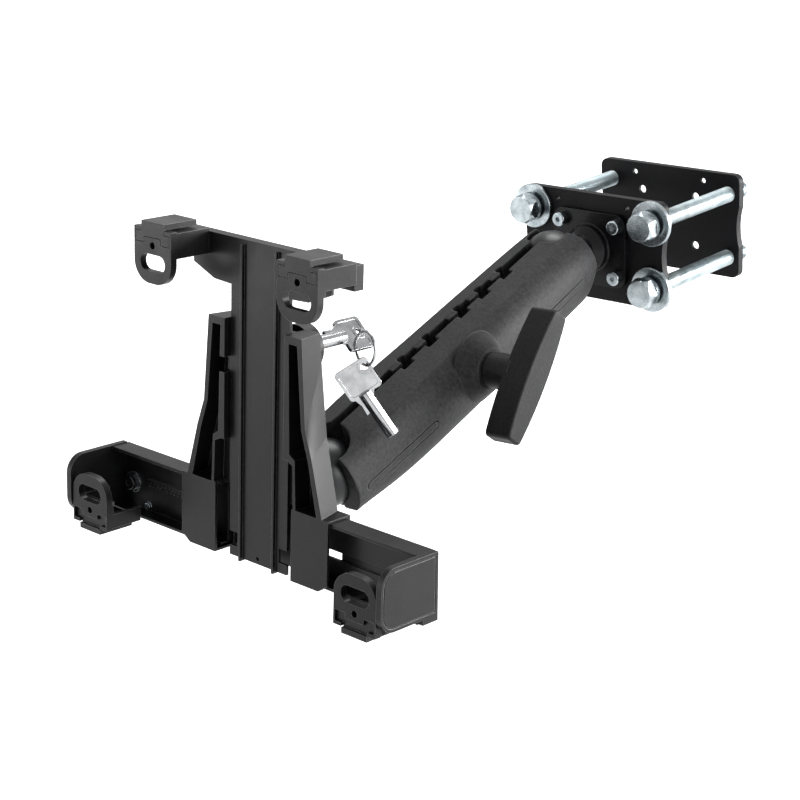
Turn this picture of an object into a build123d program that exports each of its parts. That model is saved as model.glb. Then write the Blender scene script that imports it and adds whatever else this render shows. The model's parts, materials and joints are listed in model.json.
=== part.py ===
from build123d import *
import os

os.makedirs("parts", exist_ok=True)

# Forklift tablet mount. Frame: X across, Y back through the pillar, Z up.
# The origin is the centre of the clamp plate face that bears on the pillar. All sizes in mm.

# Fits
RUN = 0.05
SLIDE = 0.2
BALL_GAP = 0.3
SEAT = 0.3

# Clamp plates
PLATE_W = 105.6
PLATE_H = 66.6
PLATE_T = 5.0
PLATE_R = 5.0
WAIST_DEPTH = 1.8
WAIST_HALF = 13.0
PILLAR_GAP = 78.4
BOLT_SPAN_X = 88.4
BOLT_SPAN_Z = 41.0
BOLT_R = 5.0
BOLT_HOLE_R = 5.5
BASE_SPAN_X = 40.6
BASE_SPAN_Z = 32.0
BASE_HOLE_R = 2.6
PILOT_SPAN_X = 52.0
PILOT_SPAN_Z = 54.0
PILOT_R = 1.8

# Clamp hardware
FLAT_R = 13.9
FLAT_T = 3.0
SPRING_R = 8.9
SPRING_T = 2.5
SPRING_RISE = 2.7
SPRING_TURN = 0.96
SPRING_TRIM = 0.1
FLAT_EDGE = 0.4
HEX_AF = 17.0
HEAD_T = 6.7
HEAD_EDGE = 1.6
HEAD_TAPER = 26.0
BOLT_TIP_Y = 96.4
TIP_CHAMFER = 1.0

# Ball bases
FLANGE_W = 53.0
FLANGE_H = 46.0
FLANGE_T = 3.6
FLANGE_R = 7.0
COLLAR_R = 14.5
COLLAR_TOP = 8.0
NECK_FROM = 13.0
NECK_FLARE = 1.0
FLANGE_EDGE = 0.8
NECK_R = 9.0
STUD_R = 5.0
BALL_R = 19.0
REAR_BALL_Y = -47.0
BALL_FLAT = 16.4
STUD_DEPTH = 6.0
SCREW_R = 2.5
SCREW_HEAD_R = 4.4
SCREW_HEAD_T = 4.8
SCREW_SOCKET_R = 1.7
SCREW_SOCKET_T = 1.8
SCREW_EDGE = 0.8
SCREW_SHY = 0.4

# Arm
ARM_YAW = 1.04
ARM_RISE = 17.64
ARM_ROLL = 2.5
ARM_HALF = 110.0
ARM_TOP = 20.3
ARM_LOW = 25.2
ARM_FRONT = -ARM_HALF - 3.5
ARM_REAR = ARM_HALF + 10.5
ARM_SECTION_Y = (-85.0, -60.0, -20.0, 20.0, 60.0, 90.0)
ARM_TIP_LOW = 20.8
ARM_TAPER_LOW = 23.6
WAIST_Z = 8.5
WAIST_SHARE = 0.74
BELLY_Z = -8.0
BELLY_IN = 0.4
HAUNCH_IN = 3.0
HAUNCH_SHARE = 0.7
KEEL_IN = 9.0
REAR_SLANT = 6.0
REAR_SHOULDER_Z = 13.0
REAR_HEEL_Z = -6.0
REAR_HEEL_Y = 14.0
REAR_ROUND = 3.0
FRONT_HEEL = 6.5
FRONT_OPEN_R = 19.3
REAR_OPEN_R = 12.0
REAR_OPEN_Y = ARM_HALF + 2.0
ARM_GAP = 3.4
NECK_SLOT = 10.6
NECK_SLOT_FROM = ARM_HALF
NECK_SLOT_L = 40.0
CAVITY_END = ARM_HALF - 28.0
CAVITY_OUT = 21.0
POST_R = 12.0
CAVITY_TOP = 12.0
CAVITY_LOW = 19.0
CAVITY_WALL = 5.5
TEETH_Y = (-36.0, -13.0, 17.5, 38.0, 60.0)
TOOTH_L = 8.0
TOOTH_H = 9.0
TOOTH_SINK = 0.6
TOOTH_ROOT = 1.0
NOTCH_L = 9.6
NOTCH_D = 2.8
FAR_NOTCH_R = 3.0
NOTCH_SHIFT = 4.0
GROOVES = ((35.0 - ARM_HALF, 63.0), (ARM_HALF - 26.0, 46.0))
GROOVE_X = 24.9
GROOVE_Z = -7.6
GROOVE_WIDE = 5.6
GROOVE_LINE = 0.8
BOSS_R = 17.0
BOSS_TIP_R = 13.0
BOSS_X0 = 24.0
BOSS_X1 = 34.5
BOSS_ROOT = 4.0
BOSS_EDGE_T = 2.6
BOSS_EDGE_OUT = 1.6
BOSS_EDGE_IN = 0.6
STUD_BORE_L = 120.0

# Knob
KNOB_NECK_R = 10.3
KNOB_NECK_X0 = 35.0
KNOB_X0 = 50.5
KNOB_DEPTH = 16.5
KNOB_HALF = 39.0
KNOB_MID_W = 19.0
KNOB_END_W = 12.0
KNOB_LEAN = 56.7
KNOB_ROOT = 2.0
KNOB_CORNER = 3.0
KNOB_EDGE = 1.6
KNOB_BORE_L = 18.0
KNOB_STUD_L = 17.6
THRUST_EDGE = 0.4
KNOB_STUD_R = 4.0
KNOB_STUD_X0 = -26.8
ARM_NUT_AF = 13.0
ARM_NUT_T = 5.0
ARM_NUT_X = -22.0
ARM_NUT_POCKET = 20.0
COIL_R = 7.0
COIL_WIRE = 1.0
COIL_TURNS = 3.5
COIL_L = 27.0
COIL_POCKET = 14.0
WASHER_T = 1.0

# Device holder
HOLDER_TILT = (-4.86, 1.52, -1.21)
FRONT_BALL_Y = 75.6
FRONT_BALL_Z = -47.9

# Sliding column
COL_HALF = 21.5
COL_RIB_X = 12.4
COL_RIB_W = 1.4
COL_RIB_Y = 24.4
COL_FACE_Y = 26.2
COL_BACK_Y = 27.9
COL_TOP = 85.2
COL_LOW = -87.5
COL_RIB_TOP = 82.8
COL_RIB_LOW = -88.7
COL_BLIND_Y = 33.0
COL_BLIND_HALF = 8.0
COL_BLIND_LOW = -44.0
COL_BLIND_TOP = 70.0
COL_HOLE_Z = -84.5
COL_HOLE_R = 1.2
COL_HOLE_D = 1.2
NOTCH_Z0 = -82.0
NOTCH_Z1 = -74.0
NOTCH_IN = 15.5
BAR_HALF = 65.3
BAR_Y0 = 26.2
BAR_Y1 = 32.5
BAR_Z0 = 72.4
GUSSET = ((50.0, 72.4), (50.0, 67.5), (34.3, 61.0), (21.5, 60.3), (12.4, 60.3), (12.4, 72.4))

# Claws
CLAW_UP_X = BAR_HALF - 13.0
CLAW_UP_Z = 78.7
CLAW_LOW_Y = -5.0
CLAW_LOW_Z = -76.0
TAB_HALF = 14.1
TAB_TOP = 8.8
TAB_LOW = -20.0
TAB_T = 4.0
TAB_CORNER = 11.5
CLAW_HOLE_R = 1.9
SLOT_L = 19.0
SLOT_H = 9.0
SLOT_Z = -9.1
ARM_Z0 = -5.2
ARM_Z1 = 8.1
ARM_UP_Y = 26.2
ARM_LOW_Y = 24.0
CAP_BRIDGE = 0.8
CUT_FROM = 1.0
ARM_WALL = 2.2
UP_CUT = 2.6
LOW_CUT = 5.3
SLOT_RIM = 1.1
SLOT_RIM_UP = 1.2
SLOT_RIM_T = 1.0
BRIDGE_FROM = 2.0
RIM_Z = -2.2
KEY_HALF = 8.5
KEY_TOP = 12.2
KEY_SHOULDER = 2.0
KEY_SUNK = 1.6
KEY_DEEP = 22.5
KEY_T = 1.6
KEY_LOW = 4.3
EAR_X = 12.8
EAR_Z0 = 1.2
EAR_Z1 = 6.6
KEY_GAP = 0.35

# End arms
RAIL_Y0 = 28.2
RAIL_Y1 = 35.6
RAIL_WALL = 2.2
RAIL_TOP = -49.3
RAIL_LOW = -85.7
RAIL_FOOT_Y0 = 24.4
RAIL_FOOT = 1.5
RAIL_FLANGE_Y0 = 23.8
ARM_TRAVEL = 26.0
FLANGE_IN = COL_HALF + ARM_TRAVEL + 1.0
RAIL_IN = 30.5
RAIL_OUT = 114.6
RAIL_LIP = 1.8
CLAW_LOW_X = RAIL_OUT - TAB_HALF - CAP_BRIDGE
CAP_T = 3.4
CAP_OUT = RAIL_OUT + CAP_T
CAP_TOP_Y1 = 34.4
CAP_Y0 = -6.0
CAP_TOP = -48.8
CAP_LOW = -82.2
CAP_FOOT_Y = 24.6
CAP_FOOT_Z = -85.2
CAP_R = 10.0
RIM_W = 1.6
RIM_D = 0.8
RACK_X0 = 45.0
RACK_X1 = RAIL_OUT - 20.3
RACK_PITCH = 2.9
RACK_Z = -68.0
RACK_H = 2.8
RACK_D = 1.4
SLIT_X0 = 40.0
SLIT_X1 = 85.0
SLIT_Z = -70.1
SLIT_H = 4.8
SLIT_D = 1.5
WINDOW_X1 = 54.0
TOOTH_ROOT_SHARE = 0.3
RAIL_SCREW_X = RAIL_OUT - 7.0
RAIL_SCREW_Z = -70.4
RAIL_WASHER_R = 6.2
RIVET_X = RAIL_OUT - 19.1
RIVET_Z = -81.9
RIVET_R = 2.2
RIVET_T = 1.4
RAIL_HEAD_T = 3.6
HEAD_ROUND = 0.3
SOCKET_SHARE = 0.6

# Housing
HOUSE_Y0 = 22.0
HOUSE_Y1 = 38.3
HOUSE_BACK_Y = 36.0
WING_IN = 22.0
WING_TOP = 42.8
WING_STEP_Z = -18.5
WING_LOW = -48.6
SLEEVE_IN = 28.6
SLEEVE_OUT = 54.8
SLEEVE_TOP = -48.0
SLEEVE_LOW = -87.2
SLEEVE_CHAMFER = 4.4
SLEEVE_CHAMFER_X = 6.2
SLEEVE_WALL = 1.5
BACK_WINDOW = (36.0, 52.0, -78.0, -65.0)
GUIDE_Y0 = 28.1
GUIDE_Y1 = 31.0
GUIDE_LAP = 2.0
GUIDE_POST = 3.0
GUIDE_UNDER = 4.0

# Lock
LOCK_X = 16.0
LOCK_Z = 32.0
LOCK_R = 12.5
LOCK_Y1 = 44.0
PLUG_R = 5.6
PLUG_Y0 = 30.0
PLUG_Y1 = 45.6
PLUG_SLOT = 6.4

# Keys on a ring
BOW_W = 19.6
BOW_H = 17.8
BOW_T = 2.0
BOW_R = 2.0
BOW_RIM = 1.6
BOW_SINK = 0.4
NECK_SHARE = (0.42, 0.3)
BLADE_SHARE = 0.6
BLADE_OUT = (1.4, 1.8)
BLADE_Z = (-4.0, -9.0, -10.0, -4.5)
EYE_R = 2.1
TUBE_R = 3.7
TUBE_BORE_R = 2.7
TUBE_L = 26.0
TUBE_LAP = 1.0
TUBE_BORE_L = 12.0
TUBE_NICK = (2.4, 1.4, 3.0)
KEY_IN_Y = 69.5
KEY_IN_EYE = (-0.18, 12.74)
SPARE_EYE = (6.43, 12.97)
SPARE_SHIFT = -1.2
KEY_LEAN = (0.7457, 0, -0.6662)
RING_POS = (23.31, 80.05, 25.63)
RING_AXIS = (0.226, 0.973, -0.05)
RING_R = 9.0
RING_WIRE = 0.8
SPARE_POS = (21.0, 77.6, 8.7)
SPARE_YAW = 42.0
SPARE_SWING = -35.0


def plane_y(y):
    # Upright sketch plane at depth y: sketch X is X, sketch Y is Z
    return Plane.XZ.offset(-y)


def half_points(span_x, span_z):
    return [(i * span_x / 2, j * span_z / 2) for i in (-1, 1) for j in (-1, 1)]


# Clamp plates
def clamp_plate(y0, step, bolt_hole_r):
    with BuildPart() as plate:
        with BuildSketch(plane_y(y0)):
            RectangleRounded(PLATE_W, PLATE_H, PLATE_R)
            with Locations(*half_points(BOLT_SPAN_X, BOLT_SPAN_Z)):
                Circle(bolt_hole_r, mode=Mode.SUBTRACT)
            with Locations(*half_points(BASE_SPAN_X, BASE_SPAN_Z)):
                Circle(BASE_HOLE_R, mode=Mode.SUBTRACT)
            with Locations(*half_points(PILOT_SPAN_X, PILOT_SPAN_Z)):
                Circle(PILOT_R, mode=Mode.SUBTRACT)
            for side in (-1, 1):
                edge = side * PLATE_W / 2
                with BuildLine():
                    ThreePointArc((edge, -WAIST_HALF), (edge - side * WAIST_DEPTH, 0), (edge, WAIST_HALF))
                    Line((edge, WAIST_HALF), (edge, -WAIST_HALF))
                make_face(mode=Mode.SUBTRACT)
        extrude(amount=-step)
    return plate.part


front_plate = clamp_plate(0, -PLATE_T, BOLT_HOLE_R)
back_plate = clamp_plate(PILLAR_GAP, PLATE_T, BOLT_R + RUN)

# Clamp bolts with flat and spring washers, one group of four of each; the back plate is tapped for them
FLAT_Y = -PLATE_T - FLAT_T
HEAD_Y = FLAT_Y - SPRING_T - SPRING_RISE
HEX_COS = 0.8660254
HEX_R = HEX_AF / 2 / HEX_COS


def clamp_spots(rows):
    return [(i * BOLT_SPAN_X / 2, 0, j * BOLT_SPAN_Z / 2) for i in (-1, 1) for j in rows]


def clamp_bolt(turn):
    with BuildPart() as bolt:
        with BuildSketch(plane_y(HEAD_Y)):
            RegularPolygon(HEX_R, 6, rotation=turn)
        extrude(amount=HEAD_T)
        with BuildSketch(plane_y(HEAD_Y)):
            Circle(HEX_R + HEAD_EDGE)
        extrude(amount=HEAD_T, taper=HEAD_TAPER, mode=Mode.INTERSECT)
        with BuildSketch(plane_y(HEAD_Y)):
            Circle(BOLT_R)
        extrude(amount=HEAD_Y - BOLT_TIP_Y)
        chamfer(bolt.faces().sort_by(Axis.Y)[-1].edges(), length=TIP_CHAMFER)
    return bolt.part


with BuildPart() as clamp_bolts:
    with Locations(*clamp_spots((1,))):
        add(clamp_bolt(30))
    with Locations(*clamp_spots((-1,))):
        add(clamp_bolt(0))

with BuildPart() as one_flat:
    with BuildSketch(plane_y(-PLATE_T)):
        Circle(FLAT_R)
        Circle(BOLT_R + SEAT, mode=Mode.SUBTRACT)
    extrude(amount=FLAT_T)
    chamfer(one_flat.edges().filter_by(GeomType.CIRCLE).sort_by(SortBy.RADIUS)[-2:], length=FLAT_EDGE)

with BuildPart() as flat_washers:
    with Locations(*clamp_spots((-1, 1))):
        add(one_flat.part)

# Split spring washer, a single open turn between the flat washer and the bolt head
SPRING_WIDE = SPRING_R - BOLT_R - SEAT
SPRING_MID = SPRING_R - SPRING_WIDE / 2
with BuildPart() as one_spring:
    with BuildLine() as turn:
        Helix(
            SPRING_RISE / SPRING_TURN,
            SPRING_RISE,
            SPRING_MID,
            center=(0, FLAT_Y - SPRING_T / 2 - SPRING_RISE, 0),
            direction=(0, 1, 0),
        )
    with BuildSketch(Plane(origin=turn.line @ 0, x_dir=(0, 1, 0), z_dir=turn.line % 0)):
        Rectangle(SPRING_T - SPRING_TRIM, SPRING_WIDE)
    sweep(is_frenet=True)

with BuildPart() as spring_washers:
    with Locations(*clamp_spots((-1, 1))):
        add(one_spring.part)


# Ball bases, each a screwed flange with a collar, neck and stud; the ball points along +Y before placing
def ball_base(flange_y, ball_y):
    neck_y = ball_y - BALL_FLAT - SEAT
    with BuildPart() as base:
        with BuildSketch(plane_y(flange_y)):
            RectangleRounded(FLANGE_W, FLANGE_H, FLANGE_R)
            with Locations(*half_points(BASE_SPAN_X, BASE_SPAN_Z)):
                Circle(BASE_HOLE_R + SLIDE, mode=Mode.SUBTRACT)
        extrude(amount=-FLANGE_T)
        with BuildSketch(Plane.XY):
            with BuildLine():
                Polyline(
                    (0, flange_y + FLANGE_T / 2),
                    (COLLAR_R, flange_y + FLANGE_T / 2),
                    (COLLAR_R, flange_y + COLLAR_TOP),
                    (NECK_R + NECK_FLARE, flange_y + NECK_FROM),
                    (NECK_R, neck_y),
                    (STUD_R, neck_y),
                    (STUD_R, ball_y + STUD_DEPTH - SEAT),
                    (0, ball_y + STUD_DEPTH - SEAT),
                    close=True,
                )
            make_face()
        revolve(axis=Axis.Y)
        flange_face = base.faces().filter_by(Axis.Y).sort_by(Axis.Y)[1:2]
        chamfer(flange_face.edges().group_by(SortBy.LENGTH)[-1], FLANGE_EDGE)
    return base.part


def ball_solid(ball_y):
    with BuildPart() as ball:
        with BuildSketch(Plane.XY):
            with Locations((0, ball_y)):
                Circle(BALL_R)
            with Locations((0, ball_y - BALL_FLAT)):
                Rectangle(4 * BALL_R, 2 * BALL_R, align=(Align.CENTER, Align.MAX), mode=Mode.SUBTRACT)
            with Locations((0, ball_y + STUD_DEPTH)):
                Rectangle(2 * (STUD_R + RUN), 2 * BALL_R, align=(Align.CENTER, Align.MAX), mode=Mode.SUBTRACT)
            with Locations((0, ball_y)):
                Rectangle(2 * BALL_R, 4 * BALL_R, align=(Align.MAX, Align.CENTER), mode=Mode.SUBTRACT)
        revolve(axis=Axis.Y)
    return ball.part


def base_screw_set(seat_y, length):
    with BuildPart() as screw:
        with BuildSketch(plane_y(seat_y)):
            Circle(SCREW_HEAD_R)
        extrude(amount=-SCREW_HEAD_T)
        fillet(screw.faces().sort_by(Axis.Y)[-1].edges(), SCREW_EDGE)
        with BuildSketch(plane_y(seat_y + SCREW_HEAD_T)):
            RegularPolygon(SCREW_SOCKET_R, 6)
        extrude(amount=SCREW_SOCKET_T, mode=Mode.SUBTRACT)
        with BuildSketch(plane_y(seat_y)):
            Circle(SCREW_R)
        extrude(amount=length)
    with BuildPart() as screws:
        with Locations(*[(x, 0, z) for x, z in half_points(BASE_SPAN_X, BASE_SPAN_Z)]):
            add(screw.part)
    return screws.part


REAR_SEAT = Location((0, -PLATE_T, 0), (0, 0, 180))
REAR_REACH = -REAR_BALL_Y - PLATE_T
rear_ball_base = ball_base(0, REAR_REACH).moved(REAR_SEAT)
rear_ball = ball_solid(REAR_REACH).moved(REAR_SEAT)
rear_base_screws = base_screw_set(FLANGE_T, FLANGE_T + PLATE_T - SCREW_SHY).moved(REAR_SEAT)

# Arm, modelled level along Y with its knob along +X, then leaned into place
ARM_LEAN = Rot(0, 0, ARM_YAW) * Rot(ARM_RISE, 0, 0) * Rot(0, -ARM_ROLL, 0)
ARM = Pos(0, REAR_BALL_Y, 0) * ARM_LEAN * Pos(0, -ARM_HALF, 0)

# Each section: position along the arm, crease across and up, widest half width, depth of the keel
ARM_SECTIONS = (
    (ARM_FRONT, 18.8, 15.8, 25.8, ARM_TIP_LOW),
    (ARM_SECTION_Y[0], 19.4, 16.0, 26.3, ARM_TAPER_LOW),
    (ARM_SECTION_Y[1], 20.0, 16.2, 26.8, ARM_LOW),
    (ARM_SECTION_Y[2], 18.9, 16.2, 27.4, ARM_LOW),
    (ARM_SECTION_Y[3], 17.9, 16.2, 27.4, ARM_LOW),
    (ARM_SECTION_Y[4], 17.0, 16.2, 26.8, ARM_LOW),
    (ARM_SECTION_Y[5], 15.6, 16.6, 26.2, ARM_LOW),
    (ARM_REAR, 12.6, 16.8, 25.0, ARM_LOW),
)


def arm_half(side):
    with BuildPart() as half:
        for y, crease_x, crease_z, wide, low in ARM_SECTIONS:
            with BuildSketch(plane_y(y)):
                with BuildLine():
                    Line((side * ARM_GAP, -low), (side * ARM_GAP, ARM_TOP))
                    Line((side * ARM_GAP, ARM_TOP), (side * crease_x, crease_z))
                    Spline(
                        (side * crease_x, crease_z),
                        (side * (crease_x + (wide - crease_x) * WAIST_SHARE), WAIST_Z),
                        (side * (wide - BELLY_IN / 4), 0.0),
                        (side * (wide - BELLY_IN), BELLY_Z),
                        (side * (wide - HAUNCH_IN), -low * HAUNCH_SHARE),
                        (side * (wide - KEEL_IN), -low),
                    )
                    Line((side * (wide - KEEL_IN), -low), (side * ARM_GAP, -low))
                make_face()
        loft()
        # Ends rounded off in side view
        with BuildSketch(Plane.YZ.offset(side * ARM_GAP)):
            with BuildLine():
                Polyline(
                    (ARM_FRONT, ARM_TOP + 1),
                    (ARM_REAR - REAR_SLANT, ARM_TOP + 1),
                    (ARM_REAR, REAR_SHOULDER_Z),
                    (ARM_REAR, REAR_HEEL_Z),
                    (ARM_REAR - REAR_HEEL_Y, -ARM_LOW - 1),
                    (ARM_FRONT + FRONT_HEEL, -ARM_LOW - 1),
                    (ARM_FRONT, FRONT_HEEL - ARM_LOW),
                    close=True,
                )
            make_face()
            fillet(vertices().group_by(Axis.X)[-1], REAR_ROUND)
        extrude(amount=side * 2 * BOSS_X1, mode=Mode.INTERSECT)
        # Raised boss that carries the knob, on the near half alone
        if side > 0:
            with BuildSketch(Plane.YZ.offset(BOSS_X0)):
                Circle(BOSS_R + BOSS_ROOT)
            with BuildSketch(Plane.YZ.offset(BOSS_X1 - BOSS_EDGE_T)):
                Circle(BOSS_TIP_R + BOSS_EDGE_OUT)
            loft()
            with BuildSketch(Plane.YZ.offset(BOSS_X1 - BOSS_EDGE_T)):
                Circle(BOSS_TIP_R + BOSS_EDGE_OUT)
            with BuildSketch(Plane.YZ.offset(BOSS_X1)):
                Circle(BOSS_TIP_R - BOSS_EDGE_IN)
            loft()
        # Ball sockets and the swing slots for the ball necks
        with Locations((0, ARM_HALF, 0), (0, -ARM_HALF, 0)):
            Sphere(BALL_R + BALL_GAP, mode=Mode.SUBTRACT)
        with Locations((0, -ARM_HALF, ARM_LOW)):
            Cylinder(FRONT_OPEN_R, 2 * ARM_LOW, mode=Mode.SUBTRACT)
        with Locations((0, REAR_OPEN_Y, ARM_LOW)):
            Cylinder(REAR_OPEN_R, 2 * ARM_LOW, mode=Mode.SUBTRACT)
        for end in (-1, 1):
            with Locations((0, end * NECK_SLOT_FROM, 0)):
                Box(
                    2 * NECK_SLOT,
                    NECK_SLOT_L,
                    4 * ARM_TOP,
                    align=(Align.CENTER, Align.MIN if end > 0 else Align.MAX, Align.CENTER),
                    mode=Mode.SUBTRACT,
                )
        # Hollow between the sockets, with a post left round the stud
        with BuildSketch(Plane.XY.offset(-CAVITY_LOW)):
            with Locations((side * (ARM_GAP + CAVITY_OUT - CAVITY_WALL) / 2, 0)):
                Rectangle(CAVITY_OUT + ARM_GAP - CAVITY_WALL, 2 * CAVITY_END)
            Circle(POST_R, mode=Mode.SUBTRACT)
        extrude(amount=CAVITY_LOW + CAVITY_TOP, mode=Mode.SUBTRACT)
        # Meshing teeth and notches along the top seam
        for y in TEETH_Y:
            if side < 0:
                with Locations((-ARM_GAP / 2 - TOOTH_SINK, y, ARM_TOP - TOOTH_H / 2)):
                    Box(ARM_GAP + TOOTH_ROOT, TOOTH_L, TOOTH_H)
                with Locations((-ARM_GAP, y + TOOTH_L / 2 + NOTCH_SHIFT, ARM_TOP)):
                    Cylinder(FAR_NOTCH_R, 2 * TOOTH_H, mode=Mode.SUBTRACT)
            else:
                with Locations((ARM_GAP, y + NOTCH_SHIFT, ARM_TOP)):
                    Box(2 * NOTCH_D, NOTCH_L, 2 * TOOTH_H, mode=Mode.SUBTRACT)
        # Sunk outlines low on the outer side
        for groove_y, length in GROOVES:
            with BuildSketch(Plane.YZ.offset(side * GROOVE_X)):
                with Locations((groove_y, GROOVE_Z)):
                    SlotOverall(length, GROOVE_WIDE)
                    SlotOverall(length - 2 * GROOVE_LINE, GROOVE_WIDE - 2 * GROOVE_LINE, mode=Mode.SUBTRACT)
            extrude(amount=side * BOSS_X1, mode=Mode.SUBTRACT)
        # Bore for the stud, pocket for the spring, and the nut pocket of the far half
        Cylinder(KNOB_STUD_R + SEAT, STUD_BORE_L, rotation=(0, 90, 0), mode=Mode.SUBTRACT)
        with BuildSketch(Plane.YZ):
            Circle(COIL_R + COIL_WIRE + SEAT)
        extrude(amount=side * COIL_POCKET, mode=Mode.SUBTRACT)
        if side < 0:
            with BuildSketch(Plane.YZ.offset(ARM_NUT_X)):
                RegularPolygon(ARM_NUT_AF / 2 / HEX_COS + SLIDE, 6)
            extrude(amount=-ARM_NUT_POCKET, mode=Mode.SUBTRACT)
    return half.part


arm_half_near = arm_half(1).moved(ARM)
arm_half_far = arm_half(-1).moved(ARM)

# Knob: T handle with a round neck, steel stud, thrust washer, nut in the far half and spring between
with BuildPart() as knob:
    with BuildSketch(Plane.YZ.offset(KNOB_NECK_X0)):
        Circle(KNOB_NECK_R)
    extrude(amount=KNOB_X0 - KNOB_NECK_X0 + KNOB_ROOT)
    with BuildSketch(Plane.YZ.offset(KNOB_X0)):
        with BuildLine():
            Polyline((-KNOB_END_W / 2, -KNOB_HALF), (KNOB_END_W / 2, -KNOB_HALF))
            ThreePointArc((KNOB_END_W / 2, -KNOB_HALF), (KNOB_MID_W / 2, 0), (KNOB_END_W / 2, KNOB_HALF))
            Line((KNOB_END_W / 2, KNOB_HALF), (-KNOB_END_W / 2, KNOB_HALF))
            ThreePointArc((-KNOB_END_W / 2, KNOB_HALF), (-KNOB_MID_W / 2, 0), (-KNOB_END_W / 2, -KNOB_HALF))
        make_face()
        fillet(vertices(), KNOB_CORNER)
    extrude(amount=KNOB_DEPTH)
    fillet(knob.faces().sort_by(Axis.X)[-1].edges(), KNOB_EDGE)
    with BuildSketch(Plane.YZ.offset(KNOB_NECK_X0)):
        Circle(KNOB_STUD_R + RUN)
    extrude(amount=KNOB_BORE_L, mode=Mode.SUBTRACT)

KNOB_TURN = Rot(-KNOB_LEAN, 0, 0)
knob_handle = knob.part.moved(ARM * KNOB_TURN)

with BuildPart() as stud:
    with BuildSketch(Plane.YZ.offset(KNOB_STUD_X0)):
        Circle(KNOB_STUD_R)
    extrude(amount=KNOB_NECK_X0 + KNOB_STUD_L - KNOB_STUD_X0)
knob_stud = stud.part.moved(ARM)

with BuildPart() as thrust:
    with BuildSketch(Plane.YZ.offset(BOSS_X1 + RUN)):
        Circle(KNOB_NECK_R - THRUST_EDGE)
        Circle(KNOB_STUD_R + SEAT, mode=Mode.SUBTRACT)
    extrude(amount=KNOB_NECK_X0 - BOSS_X1 - RUN)
knob_washer = thrust.part.moved(ARM)

with BuildPart() as hex_nut:
    with BuildSketch(Plane.YZ.offset(ARM_NUT_X)):
        RegularPolygon(ARM_NUT_AF / 2 / HEX_COS, 6)
        Circle(KNOB_STUD_R + RUN, mode=Mode.SUBTRACT)
    extrude(amount=-ARM_NUT_T)
arm_nut = hex_nut.part.moved(ARM)

with BuildPart() as coil:
    with BuildLine() as coil_path:
        Helix(COIL_L / COIL_TURNS, COIL_L, COIL_R, center=(-COIL_L / 2, 0, 0), direction=(1, 0, 0))
    with BuildSketch(Plane(origin=coil_path.line @ 0, z_dir=coil_path.line % 0)):
        Circle(COIL_WIRE)
    sweep()
arm_spring = coil.part.moved(ARM)

# Device holder, modelled upright on its own axes, then tilted into place on the front ball
FRONT_BALL = (ARM * Pos(0, -ARM_HALF, 0)).position
HOLDER = Pos(*FRONT_BALL) * Rot(*HOLDER_TILT) * Pos(0, -FRONT_BALL_Y, -FRONT_BALL_Z)

FRONT_SEAT = HOLDER * Pos(0, HOUSE_Y1, FRONT_BALL_Z)
FRONT_REACH = FRONT_BALL_Y - HOUSE_Y1
holder_ball_base = ball_base(0, FRONT_REACH).moved(FRONT_SEAT)
front_ball = ball_solid(FRONT_REACH).moved(FRONT_SEAT)
holder_base_screws = base_screw_set(FLANGE_T, FLANGE_T + HOUSE_Y1 - HOUSE_BACK_Y - SCREW_SHY / 2).moved(FRONT_SEAT)


def slab(points, y0, y1):
    # Flat piece cut to an outline in X and Z, between two depths
    with BuildPart() as piece:
        with BuildSketch(plane_y(y0)):
            Polygon(*points, align=None)
        extrude(amount=y0 - y1)
    return piece.part


def mirrored(points):
    return [(-x, z) for x, z in points]


def block(x0, x1, y0, y1, z0, z1, mode=Mode.ADD):
    # Box between two corners, for use inside a part
    low = (min(x0, x1), min(y0, y1), min(z0, z1))
    with Locations(low):
        Box(
            abs(x1 - x0),
            abs(y1 - y0),
            abs(z1 - z0),
            align=(Align.MIN, Align.MIN, Align.MIN),
            mode=mode,
        )


# Sliding column with its top crossbar
with BuildPart() as column:
    block(-COL_HALF, COL_HALF, COL_FACE_Y, COL_BACK_Y, COL_LOW, COL_TOP)
    for side in (-1, 1):
        block(
            side * (COL_RIB_X - COL_RIB_W / 2),
            side * (COL_RIB_X + COL_RIB_W / 2),
            COL_RIB_Y,
            COL_BACK_Y,
            COL_RIB_LOW,
            COL_RIB_TOP,
        )
    block(-COL_BLIND_HALF, COL_BLIND_HALF, COL_FACE_Y, COL_BLIND_Y, COL_BLIND_LOW, COL_BLIND_TOP)
    block(-BAR_HALF, BAR_HALF, BAR_Y0, BAR_Y1, BAR_Z0, COL_TOP)
    add(slab(GUSSET, BAR_Y0, COL_BACK_Y))
    add(slab(mirrored(GUSSET), BAR_Y0, COL_BACK_Y))
    for side in (-1, 1):
        block(
            side * NOTCH_IN,
            side * (COL_HALF + 1),
            COL_FACE_Y - 1,
            COL_BACK_Y + 1,
            NOTCH_Z0,
            NOTCH_Z1,
            mode=Mode.SUBTRACT,
        )
    with BuildSketch(plane_y(COL_FACE_Y)):
        with Locations((0, COL_HOLE_Z)):
            Circle(COL_HOLE_R)
    extrude(amount=-COL_HOLE_D, mode=Mode.SUBTRACT)
column_slide = column.part.moved(HOLDER)


# Claws: a rounded tab with a slot and a small hole, on a hollow box arm; the key is the stepped inlay
KEY_OUTLINE = (
    (-KEY_HALF, KEY_TOP),
    (KEY_HALF, KEY_TOP),
    (KEY_HALF, EAR_Z1),
    (EAR_X, EAR_Z1),
    (EAR_X, EAR_Z0),
    (KEY_HALF - KEY_SHOULDER, EAR_Z0),
    (KEY_HALF - KEY_SHOULDER, KEY_LOW),
    (KEY_SHOULDER - KEY_HALF, KEY_LOW),
    (KEY_SHOULDER - KEY_HALF, EAR_Z0),
    (-EAR_X, EAR_Z0),
    (-EAR_X, EAR_Z1),
    (-KEY_HALF, EAR_Z1),
)


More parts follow.
